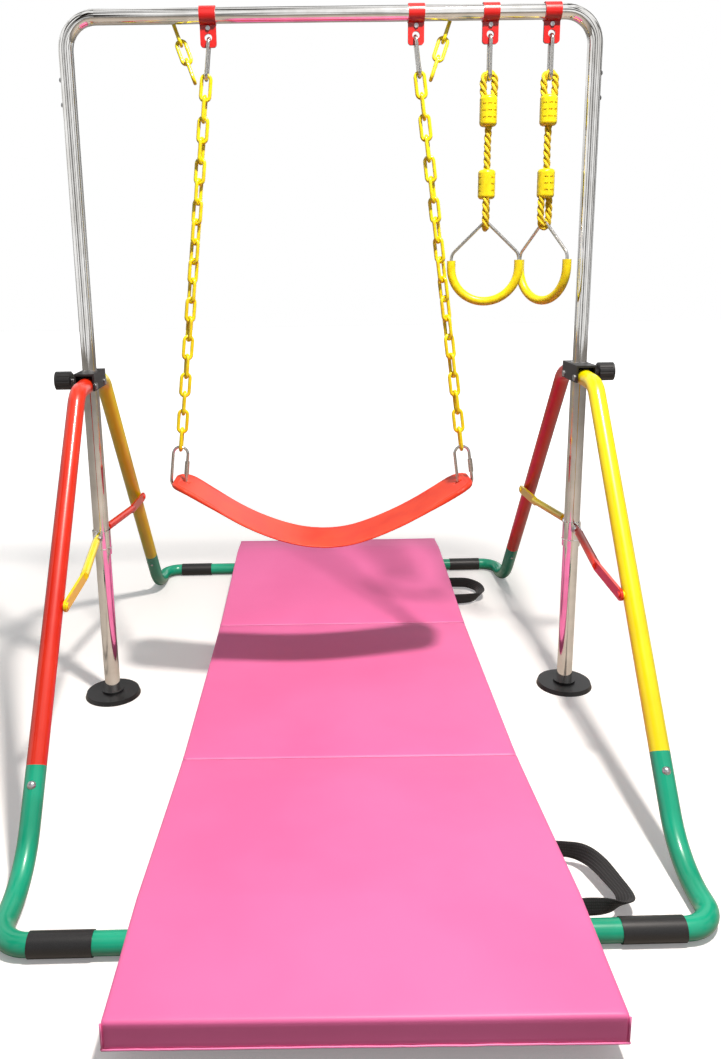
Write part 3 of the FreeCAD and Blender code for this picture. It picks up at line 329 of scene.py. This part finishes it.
FINISHES = {
    CHROME: ["left_post", "right_post", "top_bar", "left_upright", "right_upright", "joint_spigots",
             "left_collar", "right_collar"],
    WIRE: ["swing_carabiners", "quick_links", "left_ring_carabiner", "right_ring_carabiner",
           "left_ring_wire", "right_ring_wire"],
    ZINC: ["leg_hinge_pins", "plunger_housings", "left_plunger_pin", "right_plunger_pin", "joint_screws",
           "hanger_screws", "front_leg_bolts", "rear_leg_bolts", "left_collar_pins", "right_collar_pins"],
    BLACK: ["left_clamp_block", "right_clamp_block", "left_knob", "right_knob", "front_floor_sleeves",
            "rear_floor_sleeves"],
    RUBBER: ["left_foot_disc", "right_foot_disc"],
    HANGER_RED: ["swing_hangers", "ring_hangers"],
    CHAIN: ["swing_chain_left", "swing_chain_right", "chain_tails"],
    MOULDED_YELLOW: ["left_ring_beads", "right_ring_beads", "left_ring_grip", "right_ring_grip"],
    RED: ["front_left_leg", "rear_right_leg", "front_right_link", "rear_left_link"],
    YELLOW: ["front_right_leg", "rear_left_leg", "front_left_link", "rear_right_link"],
    GREEN: ["front_floor_tube", "rear_floor_tube"],
}
for finish, names in FINISHES.items():
    for name in names:
        item = nodes[name]
        if not item.material_slots:
            item.data.materials.append(finish)
        for holder in item.material_slots:
            holder.material = finish


# ---------------------------------------------------------------- mesh helpers
def new_piece(name, mesh, body, finish):
    """Put a finished mesh in the scene as a named piece on a body."""
    piece = bpy.data.objects.new(name, mesh)
    scene.collection.objects.link(piece)
    mesh.materials.clear()
    mesh.materials.append(finish)
    mesh.shade_smooth()
    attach(piece, body)
    return piece


def mesh_from(name, points, faces):
    """A mesh from points and faces, its normals turned outwards."""
    mesh = bpy.data.meshes.new(name)
    mesh.from_pydata([tuple(point) for point in points], [], faces)
    shape = bmesh.new()
    shape.from_mesh(mesh)
    bmesh.ops.recalc_face_normals(shape, faces=shape.faces)
    shape.to_mesh(mesh)
    shape.free()
    return mesh


def carried(points, start_up):
    """Unit frames (ahead, side, up) carried without twist along a line of points."""
    frames = []
    up = Vector(start_up)
    for index, point in enumerate(points):
        before = points[max(index - 1, 0)]
        after = points[min(index + 1, len(points) - 1)]
        ahead = (after - before).normalized()
        up = (up - ahead * up.dot(ahead)).normalized()
        frames.append((ahead, ahead.cross(up), up))
    return frames


def swept(rings, closed=False):
    """Faces of a skin over equal rings of points, capped unless the line closes on itself."""
    count = len(rings[0])
    points = [point for ring in rings for point in ring]
    faces = []
    last = len(rings) if closed else len(rings) - 1
    for row in range(last):
        following = (row + 1) % len(rings)
        for column in range(count):
            beside = (column + 1) % count
            faces.append((row * count + column, row * count + beside,
                          following * count + beside, following * count + column))
    if not closed:
        faces.append(tuple(range(count)))
        faces.append(tuple(range((len(rings) - 1) * count, len(rings) * count)))
    return points, faces


def round_tube(points, radius, sides=12, closed=False):
    """Points and faces of a round bar along a line."""
    start_up = UP if abs((points[1] - points[0]).normalized().dot(UP)) < 0.9 else Vector((0, 1, 0))
    rings = []
    for point, (ahead, side, up) in zip(points, carried(points, start_up)):
        rings.append([point + (side * math.cos(angle) + up * math.sin(angle)) * radius
                      for angle in (2 * math.pi * step / sides for step in range(sides))])
    return swept(rings, closed)


def joined(parts):
    """Several sets of points and faces as one."""
    points = []
    faces = []
    for part_points, part_faces in parts:
        shift = len(points)
        points += part_points
        faces += [tuple(index + shift for index in face) for face in part_faces]
    return points, faces


def smooth_line(points, steps):
    """A Catmull-Rom line through given points."""
    line = []
    for index in range(len(points) - 1):
        before = points[max(index - 1, 0)]
        start = points[index]
        end = points[index + 1]
        after = points[min(index + 2, len(points) - 1)]
        for step in range(steps):
            t = step / steps
            line.append(0.5 * (2 * start + (end - before) * t
                               + (2 * before - 5 * start + 4 * end - after) * t * t
                               + (3 * start - before - 3 * end + after) * t ** 3))
    line.append(points[-1])
    return line


def remeshed(source, name, voxel):
    """A copy of a node's mesh rebuilt as even small quads."""
    copy = bpy.data.objects.new(name, source.data.copy())
    scene.collection.objects.link(copy)
    rebuild = copy.modifiers.new("rebuild", "REMESH")
    rebuild.mode = "VOXEL"
    rebuild.voxel_size = voxel
    return copy


def applied(item):
    """The object's mesh with its modifiers applied; the object itself is removed."""
    shape = item.evaluated_get(bpy.context.evaluated_depsgraph_get())
    mesh = bpy.data.meshes.new_from_object(shape)
    bpy.data.objects.remove(item)
    return mesh


# ---------------------------------------------------------------- ring ropes
ROPE_DIAMETER = 14 * MM
RING_LINES = {"left": (0.297, -14), "right": (0.412, -61)}
EYE = 10.8
TUCK = 7.2
LOOP_HALF = 10.4


def rope_route(x, turn):
    """The rope's corners: up round the snap hook, down through both beads, and round the ring's wire."""
    angle = math.radians(turn + 90)
    loop_way = Vector((math.cos(angle), math.sin(angle), 0))
    corners = [Vector((-TUCK, 0, 1196)), Vector((-EYE, 0, 1224)), Vector((-EYE, 0, 1256.8)),
               Vector((EYE, 0, 1256.8)), Vector((EYE, 0, 1224)), Vector((TUCK, 0, 1198)),
               Vector((0, 0, 1162)), Vector((0, 0, 1084)), loop_way * TUCK + UP * 1055,
               loop_way * LOOP_HALF + UP * 1025, loop_way * LOOP_HALF + UP * 974.6,
               loop_way * -LOOP_HALF + UP * 974.6, loop_way * -LOOP_HALF + UP * 1025,
               loop_way * -TUCK + UP * 1051]
    return [corner * MM + Vector((x, POST_LINE, 0)) for corner in corners]


def spline_points(corners, name):
    """Points along a smooth spline whose control points are the corners."""
    curve = bpy.data.curves.new(name, "CURVE")
    curve.dimensions = "3D"
    curve.resolution_u = 10
    spline = curve.splines.new("NURBS")
    spline.points.add(len(corners) - 1)
    for holder, corner in zip(spline.points, corners):
        holder.co = (*corner, 1)
    spline.order_u = 3
    spline.use_endpoint_u = True
    item = bpy.data.objects.new(name, curve)
    scene.collection.objects.link(item)
    line = bpy.data.meshes.new_from_object(item)
    points = [vertex.co.copy() for vertex in line.vertices]
    bpy.data.objects.remove(item)
    return points


def evenly(points, gap):
    """Points about one gap apart along a line."""
    line = [points[0]]
    for start, end in zip(points, points[1:]):
        steps = max(1, round((end - start).length / gap))
        line += [start.lerp(end, step / steps) for step in range(1, steps + 1)]
    return line


def rope_mesh(name, route):
    """Three strands laid round the route, each with its filaments running along it."""
    strand_radius = ROPE_DIAMETER / 4.31
    offset = 2 * strand_radius / math.sqrt(3)
    lay = 3 * ROPE_DIAMETER
    line = evenly(route, 1.6 * MM)
    frames = carried(line, (0, 1, 0))
    travelled = [0.0]
    for start, end in zip(line, line[1:]):
        travelled.append(travelled[-1] + (end - start).length)
    sides = 10
    parts = []
    for strand in range(3):
        centres = []
        for point, (ahead, side, up), distance in zip(line, frames, travelled):
            angle = 2 * math.pi * (distance / lay + strand / 3)
            centres.append(point + (side * math.cos(angle) + up * math.sin(angle)) * offset)
        parts.append(round_tube(centres, strand_radius, sides))
    points, faces = joined(parts)
    mesh = mesh_from(name, points, faces)
    strip = mesh.uv_layers.new(name="strip")
    for polygon in mesh.polygons:
        for loop in polygon.loop_indices:
            vertex = mesh.loops[loop].vertex_index
            row = (vertex // sides) % len(line)
            strip.data[loop].uv = (travelled[row] * 10, (vertex % sides) / sides)
    return mesh, line


def add_ropes():
    """One rope on each ring, spliced back into its own beads at both ends."""
    for side, (x, turn) in RING_LINES.items():
        route = spline_points(rope_route(x, turn), side + "_route")
        mesh, line = rope_mesh(side + "_rope", route)
        piece = new_piece(side + "_rope", mesh, side + "_ring", ROPE)
        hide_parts(side + "_ring_rope")


add_ropes()


# ---------------------------------------------------------------- belt seat
def add_seat():
    """The moulded belt: rounded edges, open slots and a low rib round each stiff end."""
    low, high = (Vector(corner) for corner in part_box("swing_seat"))
    mesh = applied(remeshed(nodes["swing_seat"], "seat_rebuild", 1.6 * MM))
    shape = bmesh.new()
    shape.from_mesh(mesh)
    for turn in range(5):
        bmesh.ops.smooth_vert(shape, verts=shape.verts, factor=0.5, use_axis_x=True, use_axis_y=True,
                              use_axis_z=True)
    shape.normal_update()
    middle_y = (low.y + high.y) / 2
    half = (high.y - low.y) / 2
    rib_inset = 11 * MM
    rib_half = 2.2 * MM
    for vertex in shape.verts:
        if vertex.normal.z < 0.5:
            continue
        from_end = min(vertex.co.x - low.x, high.x - vertex.co.x)
        fade = min(max((0.11 - from_end) / 0.03, 0), 1)
        corner = 0.04
        beside = abs(vertex.co.y - middle_y)
        edge = half - beside
        if from_end < corner and beside > half - corner:
            edge = corner - math.hypot(corner - from_end, beside - (half - corner))
        elif from_end < edge:
            edge = from_end
        off = abs(edge - rib_inset)
        if off < rib_half:
            vertex.co += vertex.normal * (0.9 * MM * fade * math.cos(off / rib_half * math.pi / 2))
    shape.to_mesh(mesh)
    shape.free()
    piece = new_piece("belt_seat", mesh, "swing", BELT)
    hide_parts("swing_seat")


add_seat()


# ---------------------------------------------------------------- tri-fold mat
MAT_TURN = Matrix.Rotation(math.radians(-0.86), 4, "Z")
MAT_PLACE = Matrix.Translation((0.012, 0, 0)) @ MAT_TURN
MAT_HALF = 0.3048
THICK = 0.038
PANEL = 0.6096
GAP = 0.0012
RISE = 0.034
FRONT_TUBE = POST_LINE - 0.757
REAR_TUBE = POST_LINE + 0.757
PANELS = {
    "front": ("mat_front", [(-MAT_HALF - GAP, 0), (FRONT_TUBE + 0.016, RISE), (FRONT_TUBE - 0.016, RISE),
                            (-PANEL * 1.5, RISE - 0.002)]),
    "middle": ("mat_middle", [(-MAT_HALF, 0), (MAT_HALF, 0)]),
    "rear": ("mat_rear", [(MAT_HALF + GAP, 0), (REAR_TUBE - 0.016, RISE), (REAR_TUBE + 0.016, RISE),
                          (PANEL * 1.5, RISE - 0.009)]),
}
SWELL = 3.2 * MM
SIDE_SWELL = 0.9 * MM
CREASE_SWELL = 0.3 * MM
UNDER_SWELL = 0.2 * MM
EDGE_FADE = 0.09
CELL = 10 * MM


def pad_grid(outline):
    """A pad as an even closed grid in the mat's own axes: its underside follows the outline."""
    stations = evenly([Vector((0, y, z)) for y, z in outline], CELL)
    columns = round(2 * MAT_HALF / CELL)
    rows = 4
    section = [(step / columns, 0.0) for step in range(columns)]
    section += [(1.0, step / rows) for step in range(rows)]
    section += [(1 - step / columns, 1.0) for step in range(columns)]
    section += [(0.0, 1 - step / rows) for step in range(rows)]
    rings = []
    for station in stations:
        rings.append([Vector(((share - 0.5) * 2 * MAT_HALF, station.y, station.z + rise * THICK))
                      for share, rise in section])
    points, faces = swept(rings)
    faces = faces[:-2]
    count = len(section)
    for end in (0, len(stations) - 1):
        station = stations[end]
        inner = {}
        for row in range(1, rows):
            for column in range(1, columns):
                inner[(column, row)] = len(points)
                points.append(Vector(((column / columns - 0.5) * 2 * MAT_HALF, station.y,
                                      station.z + row / rows * THICK)))
        for row in range(rows + 1):
            for column in range(columns + 1):
                if row == 0:
                    inner[(column, row)] = end * count + column
                elif column == columns:
                    inner[(column, row)] = end * count + columns + row
                elif row == rows:
                    inner[(column, row)] = end * count + 2 * columns + rows - column
                elif column == 0:
                    inner[(column, row)] = end * count + count - row
        for row in range(rows):
            for column in range(columns):
                faces.append((inner[(column, row)], inner[(column + 1, row)],
                              inner[(column + 1, row + 1)], inner[(column, row + 1)]))
    return points, faces


def blown(mesh, name):
    """Where each point of a pad's cover comes to rest when the foam pushes it out, by cloth simulation."""
    pad = bpy.data.objects.new(name + "_cloth", mesh)
    scene.collection.objects.link(pad)
    cloth = pad.modifiers.new("cloth", "CLOTH")
    cloth.settings.use_pressure = True
    cloth.settings.uniform_pressure_force = 2.0
    cloth.settings.quality = 4
    cloth.settings.tension_stiffness = 20
    cloth.settings.compression_stiffness = 12
    cloth.settings.bending_stiffness = 2
    cloth.settings.effector_weights.gravity = 0
    cloth.collision_settings.use_collision = False
    for step in range(1, 17):
        scene.frame_set(step)
    shape = pad.evaluated_get(bpy.context.evaluated_depsgraph_get())
    rest = [vertex.co.copy() for vertex in shape.data.vertices]
    bpy.data.objects.remove(pad)
    scene.frame_set(1)
    return rest


def pad_cover(name, outline):
    """A foam pad's cover: blown out a few millimetres on top, held at its seams, creases and underside."""
    mesh = mesh_from(name, *pad_grid(outline))
    start = [vertex.co.copy() for vertex in mesh.vertices]
    normals = [vertex.normal.copy() for vertex in mesh.vertices]
    rest = blown(mesh, name)
    tip = outline[-1][0]
    creases = [outline[0][0]] if len(outline) > 2 else [y for y, z in outline]
    for vertex, old, normal, new in zip(mesh.vertices, start, normals, rest):
        shift = new - old
        from_edge = MAT_HALF - abs(old.x)
        if len(outline) > 2:
            from_edge = min(from_edge, abs(tip - old.y))
        if normal.z < -0.3:
            cap = UNDER_SWELL
        elif normal.z > 0.9:
            cap = SIDE_SWELL + (SWELL - SIDE_SWELL) * min(from_edge / EDGE_FADE, 1)
        else:
            cap = SIDE_SWELL
        from_crease = min(abs(old.y - crease) for crease in creases)
        cap = min(cap, CREASE_SWELL + SWELL * min(from_crease / EDGE_FADE, 1))
        if shift.length > cap:
            shift *= cap / shift.length
        vertex.co = old + shift
    shape = bmesh.new()
    shape.from_mesh(mesh)
    bmesh.ops.subdivide_edges(shape, edges=shape.edges, cuts=1, use_grid_fill=True)
    for turn in range(2):
        bmesh.ops.smooth_vert(shape, verts=shape.verts, factor=0.5, use_axis_x=True, use_axis_y=True,
                              use_axis_z=True)
    bmesh.ops.transform(shape, matrix=MAT_PLACE, verts=shape.verts)
    shape.to_mesh(mesh)
    shape.free()
    return mesh


def welt_lines(outline):
    """Lines of piping: along the lower edge's free sides, and up the two corners of a free end."""
    low = 1.3 * MM
    sides = [[Vector((side * MAT_HALF, y, z + low)) for y, z in outline] for side in (-1, 1)]
    if len(outline) == 2:
        return sides
    tip_y, tip_z = outline[-1]
    across = [Vector((-MAT_HALF, tip_y, tip_z + low)), Vector((MAT_HALF, tip_y, tip_z + low))]
    corners = [[Vector((side * (MAT_HALF - 0.8 * MM), tip_y - math.copysign(0.8 * MM, tip_y), tip_z + low)),
                Vector((side * (MAT_HALF - 0.8 * MM), tip_y - math.copysign(0.8 * MM, tip_y),
                        tip_z + THICK - 1.5 * MM))] for side in (-1, 1)]
    return sides + [across] + corners


def add_panels():
    """Each panel's cover, with thin piping sewn into its lower edge and end corners."""
    for which, (body, outline) in PANELS.items():
        cover = new_piece(f"mat_{which}_cover", pad_cover(f"mat_{which}_cover", outline), body,
                          COVER)
        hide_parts(f"mat_{which}_panel")
        rng = random.Random(which)
        parts = []
        for line in welt_lines(outline):
            waved = [MAT_PLACE @ (point + UP * rng.uniform(-0.4, 0.4) * MM)
                     for point in evenly(line, 14 * MM)]
            parts.append(round_tube(waved, 1.3 * MM, 8))
        new_piece(f"mat_{which}_piping", mesh_from(f"mat_{which}_piping", *joined(parts)), body,
                  PIPING)


add_panels()


def add_creases():
    """The cover's own fold between panels: a thin sewn welt that stands a little proud of the top."""
    for which, sign in (("front", -1), ("rear", 1)):
        middle_y = sign * (MAT_HALF + GAP / 2)
        across = 60
        rings = []
        profile = [(-2.8, -0.6), (-1.8, 0.2), (-0.8, 0.7), (0.0, 0.85), (0.8, 0.7), (1.8, 0.2), (2.8, -0.6)]
        for step in range(across + 1):
            x = -MAT_HALF + 3 * MM + (2 * MAT_HALF - 6 * MM) * step / across
            rings.append([MAT_PLACE @ Vector((x, middle_y + y * MM, THICK + z * MM)) for y, z in profile])
        points, faces = swept(rings)
        welt = new_piece(f"mat_{which}_crease", mesh_from(f"mat_{which}_crease", points, faces), "mat_middle",
                         PIPING)
        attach(welt, "mat_middle")


add_creases()


# ---------------------------------------------------------------- webbing handles
HANDLES = {
    "front": ("mat_front", -0.628, [((-0.004, 0.072, 27), (0, 0, 1)), ((0.026, 0.068, 27), (0.1, 0, 1)),
                                    ((0.046, 0.056, 28), (0.5, 0.2, 1)), ((0.060, 0.034, 28), (1, 0.2, 0.6)),
                                    ((0.071, 0.002, 26), (1, 0.2, 0.2)), ((0.079, -0.030, 24), (1, 0.3, 0.1)),
                                    ((0.070, -0.050, 25), (0.6, -0.4, 0.6)), ((0.040, -0.056, 27), (0.1, 0, 1)),
                                    ((0.016, -0.058, 28), (0, 0.1, 1)), ((-0.004, -0.060, 28), (0, 0, 1))]),
    "rear": ("mat_rear", 0.565, [((-0.004, 0.062, 22), (0, 0, 1)), ((0.028, 0.062, 22), (0, 0.1, 1)),
                                 ((0.056, 0.056, 22), (0.2, 0.1, 1)), ((0.078, 0.032, 21), (0.4, 0, 1)),
                                 ((0.084, 0.002, 19), (0.8, 0, 0.6)), ((0.074, -0.034, 18), (0.6, -0.2, 0.8)),
                                 ((0.040, -0.054, 19), (0.1, -0.1, 1)), ((-0.004, -0.062, 20), (0, 0, 1))]),
}
STRAP_WIDE = 27 * MM
STRAP_THICK = 2.2 * MM
# The strap's section in half widths across and half thicknesses deep, with rounded edges.
STRAP_SECTION = [(-1, -0.6), (-0.97, -1), (-0.5, -1.08), (0, -1.1), (0.5, -1.08), (0.97, -1), (1, -0.6),
                 (1, 0.6), (0.97, 1), (0.5, 1.08), (0, 1.1), (-0.5, 1.08), (-0.97, 1), (-1, 0.6)]


def add_handles():
    """A loop of webbing on each end panel that twists as it leaves the side seam."""
    for which, (body, middle_y, route) in HANDLES.items():
        line = smooth_line([Vector((MAT_HALF + x, middle_y + y, z * MM)) for (x, y, z), way in route], 10)
        wide = smooth_line([Vector(way) for place, way in route], 10)
        rings = []
        for index, point in enumerate(line):
            before = line[max(index - 1, 0)]
            after = line[min(index + 1, len(line) - 1)]
            ahead = (after - before).normalized()
            across = (wide[index] - ahead * wide[index].dot(ahead)).normalized()
            face = ahead.cross(across)
            ring = []
            for u, v in STRAP_SECTION:
                ring.append(MAT_PLACE @ (point + across * (u * STRAP_WIDE / 2)
                                         + face * (v * STRAP_THICK / 2)))
            rings.append(ring)
        points, faces = swept(rings)
        mesh = mesh_from(f"mat_{which}_strap", points, faces)
        strip = mesh.uv_layers.new(name="strip")
        count = len(rings[0])
        travelled = [0.0]
        for start, end in zip(line, line[1:]):
            travelled.append(travelled[-1] + (end - start).length)
        for polygon in mesh.polygons:
            for loop in polygon.loop_indices:
                vertex = mesh.loops[loop].vertex_index
                share = (vertex % count) / count
                strip.data[loop].uv = (travelled[vertex // count], share * 2 * STRAP_WIDE)
        piece = new_piece(f"mat_{which}_strap", mesh, body, WEBBING)
        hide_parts(f"mat_{which}_handle")


add_handles()


# ---------------------------------------------------------------- floor and light
def add_studio():
    """A pale floor, an even bright room and one lamp up and to the right in front."""
    floor_points = [(-9, -7, 0), (9, -7, 0), (9, 11, 0), (-9, 11, 0)]
    floor_mesh = mesh_from("floor", [Vector(p) for p in floor_points], [(0, 1, 2, 3)])
    floor = bpy.data.objects.new("floor", floor_mesh)
    scene.collection.objects.link(floor)
    floor.data.materials.append(pale_floor())
    floor.location.z = -0.2 * MM

    world = bpy.data.worlds.new("studio")
    scene.world = world
    world.use_nodes = True
    tree = world.node_tree
    place = add(tree, "ShaderNodeTexCoord").outputs["Generated"]
    tall = add(tree, "ShaderNodeMapping", {"Vector": place, "Scale": (2.4, 2.4, 0.5)}).outputs["Vector"]
    wall = add(tree, "ShaderNodeTexNoise", {"Vector": tall, "Scale": 1.9, "Detail": 1})
    ramp = add(tree, "ShaderNodeValToRGB", {"Fac": wall.outputs["Fac"]})
    ramp.color_ramp.elements[0].position = 0.42
    ramp.color_ramp.elements[0].color = linear("#1c1713")
    ramp.color_ramp.elements[1].position = 0.52
    ramp.color_ramp.elements[1].color = linear("#ffffff")
    room = tree.nodes["Background"]
    tree.links.new(ramp.outputs["Color"], room.inputs["Color"])
    paths = add(tree, "ShaderNodeLightPath")
    level = add(tree, "ShaderNodeMath", {0: paths.outputs["Is Glossy Ray"], 1: 0.7, 2: 0.42},
                operation="MULTIPLY_ADD")
    tree.links.new(level.outputs["Value"], room.inputs["Strength"])
    seen = paths.outputs["Is Camera Ray"]
    white = add(tree, "ShaderNodeBackground", {"Color": linear("#ffffff")})
    both = add(tree, "ShaderNodeMixShader", {"Fac": seen})
    tree.links.new(room.outputs["Background"], both.inputs[1])
    tree.links.new(white.outputs["Background"], both.inputs[2])
    tree.links.new(both.outputs["Shader"], tree.nodes["World Output"].inputs["Surface"])

    lamp = bpy.data.lights.new("key", "AREA")
    lamp.shape = "DISK"
    lamp.size = 0.22
    lamp.energy = 92
    lamp.color = linear("#fff6ee")[:3]
    key = bpy.data.objects.new("key", lamp)
    scene.collection.objects.link(key)
    key.location = (0.5, -1.06, 2.86)
    aim = Vector((0.0, 0.0, 0.3)) - key.location
    key.rotation_euler = aim.to_track_quat("-Z", "Y").to_euler()


add_studio()
scene.view_settings.view_transform = "Standard"
